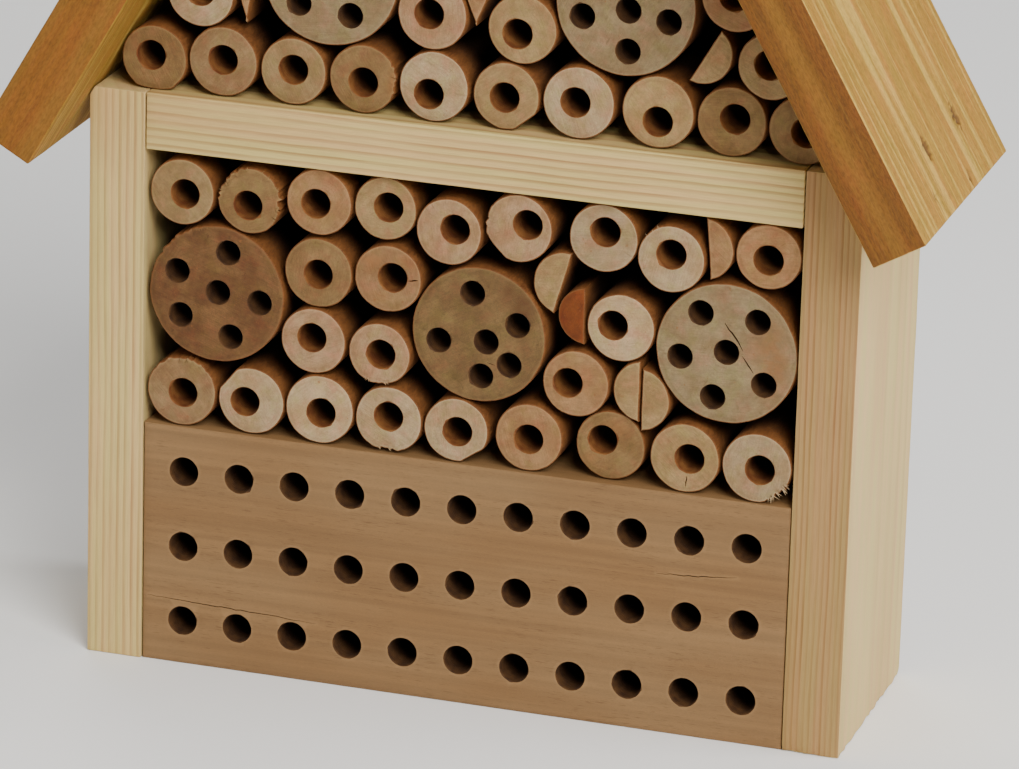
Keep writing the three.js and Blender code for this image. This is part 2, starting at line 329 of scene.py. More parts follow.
def end_grain(name, pale, tan, stain=(0.24, 0.09, 0.025)):
    """A sawn log face: mottled, scratched by the saw, with faint rings and stained patches."""
    tree = Tree(name)
    own = tree.attribute("own")
    x, _, z = tree.separate(tree.place())
    point = tree.combine(x, z)

    cloud = tree.noise(point, 0.11, 4.0, 0.6, shift=own)
    colour = tree.mix(tree.ramp(cloud, [(0.33, 0.0), (0.66, 1.0)]), pale, tan)
    patch = tree.noise(point, 0.42, 3.0, 0.6, shift=tree.total(own, 5.0))
    patch_tone = tree.ramp(patch, [(0.28, 0.82), (0.72, 1.12)], smooth=False)
    colour = tree.times(colour, patch_tone)

    warp = tree.noise(point, 0.11, 2.0, shift=own)
    radius = tree.total(tree.vector("LENGTH", point), tree.product(warp, 7.0))
    wave = tree.maths("SINE", tree.product(radius, RING_WAVES))
    where = tree.noise(point, 0.14, 1.0, shift=tree.total(own, 17.0))
    amount = tree.ramp(where, [(0.42, 0.03), (0.7, 0.3)])
    ring = tree.product(tree.ramp(wave, [(0.55, 0.0), (0.98, 1.0)]), amount)
    colour = tree.mix(ring, colour, shade(tan, 0.78))

    turn = tree.nodes.new("ShaderNodeVectorRotate")
    turn.rotation_type = "Z_AXIS"
    tree.put(turn.inputs["Vector"], point)
    tree.put(turn.inputs["Angle"], own)
    saw = tree.stretched(turn.outputs[0], (0.18, 2.4, 1.0), detail=3.0, shift=own)
    saw_tone = tree.ramp(saw, [(0.25, 0.88), (0.75, 1.09)], smooth=False)
    colour = tree.times(colour, saw_tone)
    speck = tree.noise(point, 2.1, 4.0, 0.7, shift=own)
    speck_tone = tree.ramp(speck, [(0.3, 0.8), (0.62, 1.06)], smooth=False)
    colour = tree.times(colour, speck_tone)

    tint = tree.noise(point, 0.2, 3.0, 0.6, shift=tree.total(own, 29.0))
    tint = tree.ramp(tint, [(0.32, (0.95, 1.04, 0.9)), (0.5, (1.0, 1.0, 1.0)), (0.68, (1.09, 0.93, 0.98))])
    colour = tree.times(colour, tint)

    # Rays: dark hairlines from the pith, drawn by noise that changes only round the log.
    direction = tree.vector("MULTIPLY", tree.vector("NORMALIZE", point), (5.0, 5.0, 5.0))
    outwards = tree.combine(0.0, 0.0, tree.product(radius, 0.16))
    ray = tree.noise(tree.vector("ADD", direction, outwards), 2.2, 3.0, 0.6, shift=own)
    ray = tree.product(tree.ramp(ray, [(0.6, 0.0), (0.7, 0.6)]),
                     tree.ramp(where, [(0.4, 0.15), (0.6, 1.0)]))
    colour = tree.mix(ray, colour, shade(tan, 0.62))
    spot = tree.noise(point, 0.75, 2.0, shift=tree.total(own, 41.0))
    colour = tree.mix(tree.ramp(spot, [(0.67, 0.0), (0.76, 0.6)]), colour, shade(stain, 0.9))

    colour = tree.times(colour, tree.attribute("tone"))

    smear = tree.product(tree.attribute("stain"), tree.ramp(patch, [(0.3, 0.4), (0.6, 1.0)]))
    colour = tree.mix(smear, colour, stain)
    # Painted highlight: a pale strip along the very rim of the face, with a faint darker ring just inside
    # it.
    rim = tree.attribute("inset")
    colour = tree.mix(tree.ramp(rim, [(0.5, 0.0), (0.72, 0.25), (1.0, 0.0)]), colour, shade(tan, 0.7))
    colour = tree.mix(tree.ramp(rim, [(0.16, 0.6), (0.5, 0.0)]), colour, shade(pale, 1.15))

    height = tree.total(tree.product(saw, 0.8), tree.product(speck, 0.8))
    return tree.finish(colour, tree.ramp(speck, [(0.3, 0.75), (0.7, 0.9)]), height, 0.0003)


def inner_wood(name, light, dark, coarse, darkest, fine, tones, reach, least, gloss):
    """Wood between and inside the logs: patchy, finely streaked, and darker further in with painted shade.
    """
    tree = Tree(name)
    own = tree.attribute("own")
    point = tree.place()
    patch = tree.stretched(point, coarse, detail=3.0, shift=own)
    colour = tree.mix(tree.ramp(patch, [(0.3, 0.0), darkest]), light, dark)
    streak = tree.stretched(point, fine, detail=3.0, shift=own)
    colour = tree.times(colour, tree.ramp(streak, [(0.3, tones[0]), (0.7, tones[1])]))
    # Painted shade: the colour darkens with depth behind the sawn face.
    colour = tree.times(colour, tree.painted_depth_shade(point, reach, least))
    roughness = tree.ramp(streak, [(0.3, gloss[0]), (0.7, gloss[1])])
    return tree.finish(colour, roughness, streak, 0.0003)


def staple_steel():
    """Rusted dark in the torn wood round it."""
    tree = Tree("staple_steel")
    spot = tree.noise(tree.place(), 1.5, 3.0)
    colour = tree.ramp(spot, [(0.35, (0.075, 0.032, 0.012)), (0.7, (0.03, 0.014, 0.007))])
    return tree.finish(colour, tree.ramp(spot, [(0.3, 0.45), (0.7, 0.75)]), spot, 0.0001)


# ---------------- colours and grain
RING_WAVES = 4.6
PINE_EARLY = (0.61, 0.45, 0.172)
PINE_LATE = (0.37, 0.22, 0.075)
FRONT_EARLY = (0.38, 0.23, 0.085)
FRONT_LATE = (0.25, 0.125, 0.037)
SIDE_EARLY = (0.57, 0.42, 0.18)
SIDE_LATE = (0.38, 0.24, 0.09)
# The sloping roof faces' colours hold a painted sheen over the stain; they are lighter than the board ends
# partly from this sheen and partly from the stain itself.
ROOF_EARLY = (0.33, 0.178, 0.02)
ROOF_LATE = (0.24, 0.107, 0.009)
ROOF_PALE = (0.5, 0.32, 0.065)
ROOF_EDGE_EARLY = (0.158, 0.058, 0.0045)
ROOF_EDGE_LATE = (0.12, 0.039, 0.003)
ROOF_EDGE_PALE = (0.22, 0.095, 0.01)
PLY_EARLY = (0.5, 0.36, 0.2)
PLY_LATE = (0.38, 0.23, 0.1)
TORN_WOOD = (0.095, 0.038, 0.006)
BEECH_EARLY = (0.235, 0.135, 0.056)
BEECH_LATE = (0.205, 0.108, 0.04)
HOLE_LIGHT = (0.215, 0.084, 0.02)
HOLE_DARK = (0.12, 0.033, 0.007)
DARK_HOLE_LIGHT = (0.09, 0.038, 0.01)
DARK_HOLE_DARK = (0.04, 0.015, 0.004)
LOG_SIDE_LIGHT = (0.19, 0.07, 0.017)
LOG_SIDE_DARK = (0.07, 0.018, 0.004)

# Log faces: pale and tan, and the stain of those whose heart is dark.
FACES = {
    "straw": ((0.31, 0.2, 0.086), (0.255, 0.15, 0.058)),
    "pink": ((0.36, 0.225, 0.118), (0.29, 0.16, 0.072)),
    "cream": ((0.38, 0.268, 0.148), (0.32, 0.2, 0.094)),
    "rose": ((0.31, 0.172, 0.074), (0.245, 0.12, 0.046)),
    "brown": ((0.162, 0.079, 0.026), (0.11, 0.046, 0.014)),
    "drab": ((0.23, 0.136, 0.051), (0.176, 0.094, 0.032)),
    "olive": ((0.178, 0.104, 0.037), (0.13, 0.07, 0.024), (0.09, 0.034, 0.011)),
    "fawn": ((0.26, 0.185, 0.094), (0.205, 0.13, 0.058)),
    "grey": ((0.265, 0.165, 0.073), (0.205, 0.11, 0.044)),
    "red": ((0.17, 0.042, 0.005), (0.12, 0.026, 0.003)),
}


# ---------------- reading the frame
def front_loops(node):
    """The loops round a node's front face, in metres: its outline first, then its holes."""
    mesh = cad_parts[node].data
    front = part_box(node)[0].y
    edges = set()
    for polygon in mesh.polygons:
        corners = [mesh.vertices[i].co for i in polygon.vertices]
        if all(abs(corner.y - front) < 1e-5 for corner in corners):
            keys = [(round(corner.x, 5), round(corner.z, 5)) for corner in corners]
            edges.update(zip(keys, keys[1:] + keys[:1]))
    following = {a: b for a, b in sorted(edges) if (b, a) not in edges}
    loops = []
    while following:
        start = min(following)
        here = following.pop(start)
        loop = [Vector(start)]
        while here != start:
            loop.append(Vector(here))
            here = following.pop(here)
        loops.append(loop)
    loops.sort(key=lambda loop: -abs(area_of(loop)))
    return loops


def area_of(loop):
    return sum(a.cross(b) for a, b in zip(loop, loop[1:] + loop[:1])) / 2


def middle_of(loop):
    return sum(loop, Vector((0, 0))) / len(loop)


def hole_of(loop):
    """A hole's centre and radius."""
    centre = middle_of(loop)
    return centre, sum((point - centre).length for point in loop) / len(loop)


# ---------------- loops in x and z, millimetres
SHARP_CORNER = math.radians(50)


def smooth_loop(points, step):
    """A loop on a smooth curve through the points, anticlockwise. Sharp corners stay sharp."""
    if area_of(points) < 0:
        points = points[::-1]
    count = len(points)
    sharp = []
    for i, point in enumerate(points):
        arriving = point - points[i - 1]
        leaving = points[(i + 1) % count] - point
        sharp.append(arriving.angle(leaving) > SHARP_CORNER)
    loop = []
    for i, a in enumerate(points):
        after = (i + 1) % count
        b = points[after]
        before_a = 2 * a - b if sharp[i] else points[i - 1]
        after_b = 2 * b - a if sharp[after] else points[(i + 2) % count]
        parts = max(1, round((b - a).length / step))
        for part in range(parts):
            t = part / parts
            loop.append(0.5 * (
                2 * a
                + (b - before_a) * t
                + (2 * before_a - 5 * a + 4 * b - after_b) * t ** 2
                + (3 * a - before_a - 3 * b + after_b) * t ** 3
            ))
    return loop


def round_loop(centre, radius, count):
    angles = [math.tau * i / count for i in range(count)]
    return [centre + radius * Vector((math.cos(angle), math.sin(angle))) for angle in angles]


def drawn_in(loop, by):
    """The loop moved inwards, by one distance or by a list of them."""
    count = len(loop)
    distances = by if isinstance(by, list) else [by] * count
    moved = []
    for i, point in enumerate(loop):
        along = (loop[(i + 1) % count] - loop[i - 1]).normalized()
        moved.append(point + distances[i] * Vector((-along.y, along.x)))
    return moved


def contains(loop, point):
    inside = False
    for a, b in zip(loop, loop[1:] + loop[:1]):
        if (a.y > point.y) != (b.y > point.y):
            if point.x < a.x + (point.y - a.y) / (b.y - a.y) * (b.x - a.x):
                inside = not inside
    return inside


def uneven(x, y, z):
    """Smooth noise between about -1 and 1."""
    return noise.noise(Vector((x, y, z)))


def degrees_between(a, b):
    return abs((a - b + 180) % 360 - 180)


def fade(distance, reach):
    """1 at no distance, falling smoothly to 0 at the reach."""
    t = max(0.0, 1.0 - distance / reach)
    return t * t * (3 - 2 * t)


# ---------------- pits sunk in a face
BORE_SEGMENTS = 48
BORE_DEPTH = 60
BORE_LEAD = 0.22
DRILL_POINT = 1.6


def bore_rings(centre, radius, own, tear):
    """A blind drilled hole: a torn rim, a small lead-in, the wall and the drill point."""
    rim = []
    for point in round_loop(Vector((0, 0)), 1.0, BORE_SEGMENTS):
        torn = uneven(2.2 * point.x, 2.2 * point.y, own)
        fine = uneven(5 * point.x, 5 * point.y, own)
        out = tear * (max(0.0, torn - 0.2) * 2.0 + 0.3 * max(0.0, fine))
        rim.append(centre + point * (radius + BORE_LEAD + out))
    rings = [(rim, 0.0)]
    for shrink, depth in ((0.0, 0.3), (0.02, 1.6), (0.04, 6), (0.05, 25), (0.05, BORE_DEPTH)):
        rings.append((round_loop(centre, radius - shrink, BORE_SEGMENTS), depth))
    return rings, (centre, BORE_DEPTH + DRILL_POINT)


def crack_rings(path, width, depth, own):
    """A split that opens along a line and closes downwards."""
    left, right = [], []
    count = len(path)
    for i, point in enumerate(path):
        along = (path[min(i + 1, count - 1)] - path[max(i - 1, 0)]).normalized()
        across = Vector((-along.y, along.x))
        wander = 0.35 * uneven(point.x * 0.5, point.y * 0.5, own)
        open_by = width / 2 * (0.25 + 0.75 * math.sin(math.pi * i / (count - 1)))
        place = point + across * wander
        left.append((place, across * open_by))
        right.append((place, across * -open_by))
    sides = right + left[::-1]
    rings = []
    for share, deep in ((1.0, 0.0), (0.6, depth * 0.4), (0.25, depth)):
        loop = [place + offset * share for place, offset in sides]
        if area_of(loop) < 0:
            loop.reverse()
        rings.append((loop, deep))
    return rings, None


def along_line(points, step):
    """Evenly spaced points on straight stretches between the given ones."""
    path = [points[0]]
    for a, b in zip(points, points[1:]):
        parts = max(2, round((b - a).length / step))
        path += [a.lerp(b, (i + 1) / parts) for i in range(parts)]
    return path


# ---------------- solids
FACE, PIT, SIDE = 0, 1, 2
INSIDE = 1  # delaunay_2d_cdt keeps only the triangles inside the loops
RIM_WIDTH = 1.7


def ring_of(bm, loop, heights):
    return [bm.verts.new((p.x, y, p.y)) for p, y in zip(loop, heights)]


def bridge(bm, near, far, material, outward=True):
    """The wall between two rings of a solid; outward=False for the wall of a pit."""
    count = len(near)
    for i in range(count):
        after = (i + 1) % count
        corners = [near[i], far[i], far[after], near[after]]
        wall = bm.faces.new(corners if outward else corners[::-1])
        wall.material_index = material


def check_apart(pits):
    """Two pits that overlap would leave a hole in the face, so that stops the script."""
    rims = [rings[0][0] for rings, _ in pits]
    for i, rim in enumerate(rims):
        for other in rims[:i]:
            if any(contains(other, point) for point in rim) or contains(rim, other[0]):
                raise ValueError(f"two pits overlap near {tuple(rim[0])}")


def finder(points):
    """Finds the nearest of some points in a plane."""
    tree = KDTree(len(points))
    for i, p in enumerate(points):
        tree.insert((p.x, p.y, 0), i)
    tree.balance()
    return tree


def filling_points(outline, pits, spacing, chance):
    """Points spread over a face, clear of its outline and pits."""
    tree = finder([p for loop in [outline, *(rings[0][0] for rings, _ in pits)] for p in loop])
    low_x, high_x = min(p.x for p in outline), max(p.x for p in outline)
    low_y, high_y = min(p.y for p in outline), max(p.y for p in outline)
    points = []
    for row in range(int((high_y - low_y) / spacing) + 1):
        for column in range(int((high_x - low_x) / spacing) + 1):
            x = low_x + spacing * (column + 0.5 * (row % 2) + chance.uniform(-0.2, 0.2))
            y = low_y + spacing * (row + chance.uniform(-0.2, 0.2))
            point = Vector((x, y))
            if tree.find((x, y, 0))[2] < 0.62 * spacing:
                continue
            over = any(contains(rings[0][0], point) for rings, _ in pits
                       if (point - rings[0][0][0]).length < 16)
            if contains(outline, point) and not over:
                points.append(point)
    return points


def face_mesh(outline, pits, spacing, chance):
    """The face between an outline and its pits: points, triangles, and each loop's indices."""
    points, edges, starts = [], [], []
    loops = [outline, *(rings[0][0] for rings, _ in pits)]
    for loop in loops:
        start = len(points)
        starts.append(start)
        points += loop
        edges += [(start + i, start + (i + 1) % len(loop)) for i in range(len(loop))]
    points += filling_points(outline, pits, spacing, chance)
    found, _, triangles, sources, _, _ = delaunay_2d_cdt(points, edges, [], INSIDE, 1e-6)
    index = {original: i for i, source in enumerate(sources) for original in source}
    indices = [[index[start + i] for i in range(len(loop))] for start, loop in zip(starts, loops)]
    pit_at = {i: pit for pit, ring in enumerate(indices) if pit > 0 for i in ring}

    def over_pit(triangle):
        """Nothing lies inside a pit's rim, so a triangle over a pit has all its corners on it."""
        at = {pit_at.get(i) for i in triangle}
        if len(at) > 1 or None in at:
            return False
        return contains(loops[at.pop()], sum((found[i] for i in triangle), Vector((0, 0))) / 3)

    return found, [triangle for triangle in triangles if not over_pit(triangle)], indices


def solid(outline, pits, length, spacing, relief, own, arris=0.35):
    """A closed solid with a face at y = 0, pits sunk in it, and a flat back at y = length.

    The outline and the pits' rims are anticlockwise seen from the front. relief(x, z, inwards)
    is how far the face lies back at a point, where inwards is the distance from the outline.
    """
    check_apart(pits)
    chance = random.Random(own)
    bm = bmesh.new()
    inset = bm.verts.layers.float.new("inset")
    lip = bm.verts.layers.float.new("lip")
    number = bm.verts.layers.float.new("own")
    bm.verts.layers.float.new("stain")
    bm.verts.layers.float.new("tone")
    edge = finder(outline)

    found, triangles, loops = face_mesh(drawn_in(outline, arris), pits, spacing, chance)
    verts = {}
    for i in sorted({i for triangle in triangles for i in triangle}):
        x, z = found[i]
        distance = edge.find((x, z, 0))[2]
        verts[i] = bm.verts.new((x, relief(x, z, distance), z))
        verts[i][inset] = min(1.0, distance / RIM_WIDTH)
    for triangle in triangles:
        bm.faces.new([verts[i] for i in triangle]).material_index = FACE

    for loop in loops[1:]:
        for i in loop:
            verts[i][lip] = 1.0

    rim = [verts[i] for i in loops[0]]
    relief_at_rim = [v.co.y for v in rim]
    shoulder = min(5.0, 0.3 * length)
    for shrink, depth, follows in ((0.3 * arris, 0.3 * arris, 1), (0.0, arris, 1),
                                   (0.0, shoulder, 0), (0.0, length / 2, 0),
                                   (0.0, length - arris, 0), (arris, length, 0)):
        heights = [depth + follows * rise for rise in relief_at_rim]
        ring = ring_of(bm, drawn_in(outline, shrink), heights)
        bridge(bm, rim, ring, SIDE)
        rim = ring
    bm.faces.new(rim[::-1]).material_index = FACE

    for (rings, tip), loop in zip(pits, loops[1:]):
        near = [verts[i] for i in loop]
        for ring_loop, depth in rings[1:]:
            ring = ring_of(bm, ring_loop, [depth + (v.co.y if depth < 1 else 0) for v in near])
            bridge(bm, near, ring, PIT, outward=False)
            near = ring
        if tip:
            centre, depth = tip
            point = bm.verts.new((centre.x, depth, centre.y))
            for a, b in zip(near, near[1:] + near[:1]):
                bm.faces.new((a, b, point)).material_index = PIT
        else:
            bm.faces.new(near).material_index = PIT
    for v in bm.verts:
        v[number] = own
    return bm


def add_piece(name, bm, materials, matrix, node=None):
    """Turns a mesh in millimetres into a piece that rides on the body."""
    bmesh.ops.scale(bm, vec=(MM, MM, MM), verts=bm.verts)
    for face in bm.faces:
        face.smooth = True
    mesh = bpy.data.meshes.new(name)
    bm.to_mesh(mesh)
    bm.free()
    for material in materials:
        mesh.materials.append(material)
    mesh.set_sharp_from_angle(angle=math.radians(38))
    piece = add_object(name, mesh)
    piece.matrix_world = matrix
    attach(piece, "root")
    if node:
        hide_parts(node)


# ---------------- logs
def log_relief(own, flaws):
    """How far a sawn face lies back: a small tilt, saw steps, worn rim and torn stretches."""
    chance = random.Random(own + 0.5)
    tilt_x, tilt_z = chance.uniform(-0.018, 0.018), chance.uniform(-0.018, 0.018)
    saw = chance.uniform(0, math.pi)
    reach = 11 * (abs(tilt_x) + abs(tilt_z))
    torn = [flaw[1:] for flaw in flaws if flaw[0] == "ragged"]

    def relief(x, z, inwards):
        depth = reach + tilt_x * x + tilt_z * z
        across = x * math.cos(saw) + z * math.sin(saw)
        depth += 0.07 * (1 + uneven(across * 1.1, 0.15 * x, own))
        depth += 0.08 * (1 + uneven(0.35 * x, 0.35 * z, own + 9))
        depth += 0.16 * fade(inwards, 1.1)
        angle = math.degrees(math.atan2(z, x))
        for centre, half, deep in torn:
            share = fade(degrees_between(angle, centre), half * 1.4)
            shred = 0.5 + uneven(0.9 * x, 0.9 * z, own + 4)
            depth += deep * share * fade(inwards, 2.6) * max(0.0, shred)
        return max(0.0, depth)

    return relief


def flawed(outline, own, flaws, wobble):
    """The outline with its natural unevenness, planed flats and torn stretches, all inwards."""
    loop = list(outline)
    for kind, *values in flaws:
        if kind == "flat":
            towards, cut = values
            side = Vector((math.cos(math.radians(towards)), math.sin(math.radians(towards))))
            limit = max(p.dot(side) for p in loop) - cut
            loop = [p - side * max(0.0, p.dot(side) - limit) for p in loop]
    distances = []
    for p in loop:
        slow = uneven(0.16 * p.x, 0.16 * p.y, own)
        quick = uneven(0.8 * p.x, 0.8 * p.y, own + 2)
        by = wobble * (0.75 + slow + 0.35 * quick)
        angle = math.degrees(math.atan2(p.y, p.x))
        for kind, *values in flaws:
            if kind == "ragged":
                centre, half, deep = values
                shred = 0.45 + uneven(1.7 * p.x, 1.7 * p.y, own + 6)
                by += deep * fade(degrees_between(angle, centre), half * 1.4) * max(0.0, shred)
        distances.append(max(0.02, by))
    return drawn_in(loop, distances)


def add_splinters(bm, loop, own, flaws):
    """Thin splinters left by the saw, standing off the rim."""
    chance = random.Random(own + 0.7)
    number = bm.verts.layers.float["own"]
    for kind, *values in flaws:
        if kind != "splinters":
            continue
        centre, half, count, longest = values
        for _ in range(count):
            angle = math.radians(centre + chance.uniform(-half, half))
            towards = Vector((math.cos(angle), math.sin(angle)))
            root = max(loop, key=lambda p: p.normalized().dot(towards))
            root = root - 0.9 * towards
            lean = chance.uniform(-0.7, 0.7)
            across = Vector((-towards.y, towards.x))
            tip = root + (towards + lean * across) * longest * chance.uniform(0.5, 1.0)
            half_width = chance.uniform(0.12, 0.3)
            front = chance.uniform(0.1, 0.4)
            low, high = root - across * half_width, root + across * half_width
            corners = [
                bm.verts.new((low.x, front, low.y)),
                bm.verts.new((high.x, front, high.y)),
                bm.verts.new((root.x, front + 0.5, root.y)),
                bm.verts.new((tip.x, front + chance.uniform(-0.1, 0.5), tip.y)),
            ]
            new = []
            for a, b, c in ((0, 1, 3), (1, 2, 3), (2, 0, 3), (0, 2, 1)):
                new.append(bm.faces.new((corners[a], corners[b], corners[c])))
            bmesh.ops.recalc_face_normals(bm, faces=new)
            for corner in corners:
                corner[number] = own


def add_stains(bm, flaws):
    """Discoloured patches: the middle's x and z, how wide and high, and how strong."""
    layer = bm.verts.layers.float["stain"]
    for kind, *values in flaws:
        if kind == "stain":
            x, z, wide, high, strength = values
            for v in bm.verts:
                off = math.hypot((v.co.x - x) / wide, (v.co.z - z) / high)
                v[layer] = max(v[layer], strength * fade(off, 1.0))


def face_tone(node):
    if node in LIGHTER_FACES:
        return LIGHTER
    return DARKER if node in DARKER_FACES else 1.0


def add_log(name, node, outline, bores, look, flaws=(), slot="stem_log"):
    """One drilled or plain log, from loops in metres."""
    own = random.Random(name).uniform(1, 90)
    centre = middle_of(outline)
    local = [(p - centre) / MM for p in outline]
    loop = flawed(smooth_loop(local, 0.9), own, flaws, wobble=0.16)
    pits = []
    for i, (hole, radius) in enumerate(bores):
        place = (hole - centre) / MM
        tear = 1.0 if ("torn_bore",) in flaws else 0.35
        pits.append(bore_rings(place, radius / MM, own + i, tear))
    for kind, *values in flaws:
        if kind == "crack":
            points, width, depth = values
            path = along_line([Vector(p) for p in points], 1.2)
            pits.append(crack_rings(path, width, depth, own))
    matrix, length = front_frame(node, centre)
    bm = solid(loop, pits, length, 1.5, log_relief(own, flaws), own)
    add_splinters(bm, loop, own, flaws)
    add_stains(bm, flaws)
    tone = bm.verts.layers.float["tone"]
    for v in bm.verts:
        v[tone] = face_tone(node)
    holes = DARK_HOLE_MATERIAL if slot == "disc_log" else HOLE_MATERIAL
    materials = [FACE_MATERIALS[look], holes, SIDE_MATERIAL]
    add_piece(name, bm, materials, matrix, node)


# ---------------- boards
ROOF_PITCH = 60
DENT_PITCH = 0.5
DENT_SKIN = 0.6


def split_by(bm, axis, low, high, pitch):
    normal = [0, 0, 0]
    normal[axis] = 1
    for i in range(1, int((high - low) / pitch) + 1):
        place = [0, 0, 0]
        place[axis] = low + i * pitch
        geometry = bm.verts[:] + bm.edges[:] + bm.faces[:]
        bmesh.ops.bisect_plane(bm, geom=geometry, plane_co=place, plane_no=normal, dist=1e-4)


def dent_depth(point, dents):
    """How far the outer face of a board is driven in at a point."""
    depth = 0.0
    for x, y, half_long, half_wide, deep in dents:
        ragged = 1 + 0.7 * uneven(0.9 * point.x, 0.9 * point.y, 2)
        off = math.hypot((point.x - x) / half_long, (point.y - y) / half_wide)
        depth = max(depth, deep * fade(off, ragged))
    return depth if point.z > -DENT_SKIN else 0.0


def add_board(name, matrix, node, slot, materials, choose=None, wear=None, dents=(), arris=0.4,
              pitch=3.5):
    """A planed board of its CAD node's shape, with softened arrises and a slightly uneven skin.

    choose(normal) picks each face's material, and wear(point) is how far a point is worn in.
    Each dent is its middle's x and y, its half length and half width, and its depth.
    """
    into = matrix.inverted()
    corners = {tuple(round(c / MM, 2) for c in into @ v.co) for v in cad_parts[node].data.vertices}
    bm = bmesh.new()
    for corner in sorted(corners):
        bm.verts.new(corner)
    bmesh.ops.convex_hull(bm, input=bm.verts)
    bmesh.ops.dissolve_limit(bm, angle_limit=0.01, verts=bm.verts, edges=bm.edges)
    bmesh.ops.bevel(bm, geom=bm.edges[:], offset=arris, segments=3, profile=0.5, affect="EDGES")
    for axis in range(3):
        low = min(v.co[axis] for v in bm.verts)
        high = max(v.co[axis] for v in bm.verts)
        split_by(bm, axis, low, high, pitch)
    for x, y, half_long, half_wide, _ in dents:
        split_by(bm, 0, x - half_long, x + half_long, DENT_PITCH)
        split_by(bm, 1, y - half_wide, y + half_wide, DENT_PITCH)
    bm.normal_update()
    stain = bm.verts.layers.float.new("stain")
    moves = []
    for v in bm.verts:
        slow = 0.06 * (1 + noise.noise(v.co * 0.07))
        quick = 0.03 * (1 + noise.noise(v.co * 0.6))
        dent = dent_depth(v.co, dents)
        v[stain] = min(0.85, 2.4 * dent)
        moves.append(slow + quick + dent + (wear(v.co) if wear else 0.0))
    for v, move in zip(bm.verts, moves):
        v.co -= v.normal * move
    for face in bm.faces:
        face.material_index = choose(face.normal) if choose else 0
    add_piece(name, bm, materials, matrix, node)


def front_frame(node, middle):
    """A frame at a point of a node's front face, and the node's length in millimetres."""
    low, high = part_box(node)
    return Matrix.Translation((middle.x, low.y, middle.y)), (high.y - low.y) / MM


def upright(node):
    """A frame in the middle of a node's base, square to the object."""
    low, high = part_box(node)
    return Matrix.Translation(((low.x + high.x) / 2, (low.y + high.y) / 2, low.z))


def sloping(node, side):
    """A frame on a roof board's outer face: X up the slope from the eave, Z out of the board."""
    slope = math.radians(ROOF_PITCH)
    up = Vector((-side * math.cos(slope), 0, math.sin(slope)))
    out = Vector((side * math.sin(slope), 0, math.cos(slope)))
    corners = [v.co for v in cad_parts[node].data.vertices]
    outermost = max(corner.x * side for corner in corners)
    eave = next(corner for corner in corners if abs(corner.x * side - outermost) < 1e-5)
    matrix = Matrix((up, out.cross(up), out)).transposed().to_4x4()
    matrix.translation = (eave.x, (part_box(node)[0].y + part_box(node)[1].y) / 2, eave.z)
    return matrix


def ends_apart(axis):
    """Picks material 1 for faces square to the axis, and 0 for the rest."""
    return lambda normal: 1 if abs(normal[axis]) > 0.8 else 0


# ---------------- materials of the pieces
def planed(*wood, **settings):
    """The material of a planed board or panel, from what softwood takes."""
    tree, _, colour, roughness, height = softwood(*wood, **settings)
    return tree.finish(colour, roughness, height)


def roof_material(name, early, late, pale, seed, contrast=0.5):
    """Stained pine: the stain took unevenly, and left pale streaks along the grain."""
    tree, point, colour, roughness, height = softwood(
        name, "X", (4, -42), 2.6, early, late, seed=seed, contrast=contrast)
    for across, along, start, full, most in ((0.16, 0.004, 0.48, 0.62, 0.75),
                                             (0.5, 0.008, 0.5, 0.64, 0.6),
                                             (2.6, 0.09, 0.56, 0.74, 0.35)):
        streak = tree.stretched(point, (across, across, along), detail=2.0, shift=seed + across)
        amount = tree.ramp(streak, [(start, 0.0), (full, most)])
        colour = tree.mix(amount, colour, pale)
    mottle = tree.stretched(point, (0.12, 0.12, 0.06), detail=4.0, roughness=0.65, shift=seed + 30)
    mottle = tree.ramp(mottle, [(0.3, (0.88, 0.94, 0.8)), (0.5, (1.0, 1.0, 1.0)), (0.7, (1.12, 0.96, 1.1))])
    colour = tree.times(colour, mottle)
    speck = tree.stretched(point, (1.6, 1.6, 0.5), detail=3.0, roughness=0.7, shift=seed + 40)
    colour = tree.times(colour, tree.ramp(speck, [(0.3, 0.72), (0.62, 1.08)]))
    colour = tree.mix(tree.attribute("stain"), colour, TORN_WOOD)
    return tree.finish(colour, roughness, height)


FACE_MATERIALS = {look: end_grain("log_" + look, *tones) for look, tones in FACES.items()}
# A drilled wall is ringed by the drill. A log's peeled side is streaked
# along its length. Both get painted shade that darkens them further in.
DRILLED = dict(coarse=(0.3, 0.25, 0.3), darkest=(0.7, 1.0), fine=(0.5, 3.0, 0.5),
               tones=(0.82, 1.08), reach=14.0, least=0.3, gloss=(0.7, 0.85))
PEELED = dict(coarse=(0.3, 0.1, 0.3), darkest=(0.8, 0.6), fine=(2.5, 0.5, 2.5),
              tones=(0.75, 1.12), reach=18.0, least=0.1, gloss=(0.6, 0.8))
HOLE_MATERIAL = inner_wood("nest_hole", HOLE_LIGHT, HOLE_DARK, **DRILLED)
DARK_HOLE_MATERIAL = inner_wood("dark_nest_hole", DARK_HOLE_LIGHT, DARK_HOLE_DARK, **DRILLED)
SIDE_MATERIAL = inner_wood("log_side", LOG_SIDE_LIGHT, LOG_SIDE_DARK, **PEELED)


# ---------------- the object
STEM_LOOKS = {
    "upper_stem": ["straw", "drab", "rose", "straw", "pink", "pink", "cream", "cream", "rose"],
    "middle_stem": ["drab", "rose", "cream", "pink", "pink", "rose"],
    "lower_stem": ["grey", "cream", "cream", "cream", "cream", "rose", "drab", "straw", "cream"],
    "gable_row_stem": ["grey", "straw", "drab", "cream", "straw", "cream", "straw", "drab", "drab"],
    "gable_stem": ["cream", "straw", "pink", "straw", "rose", "straw"],
}
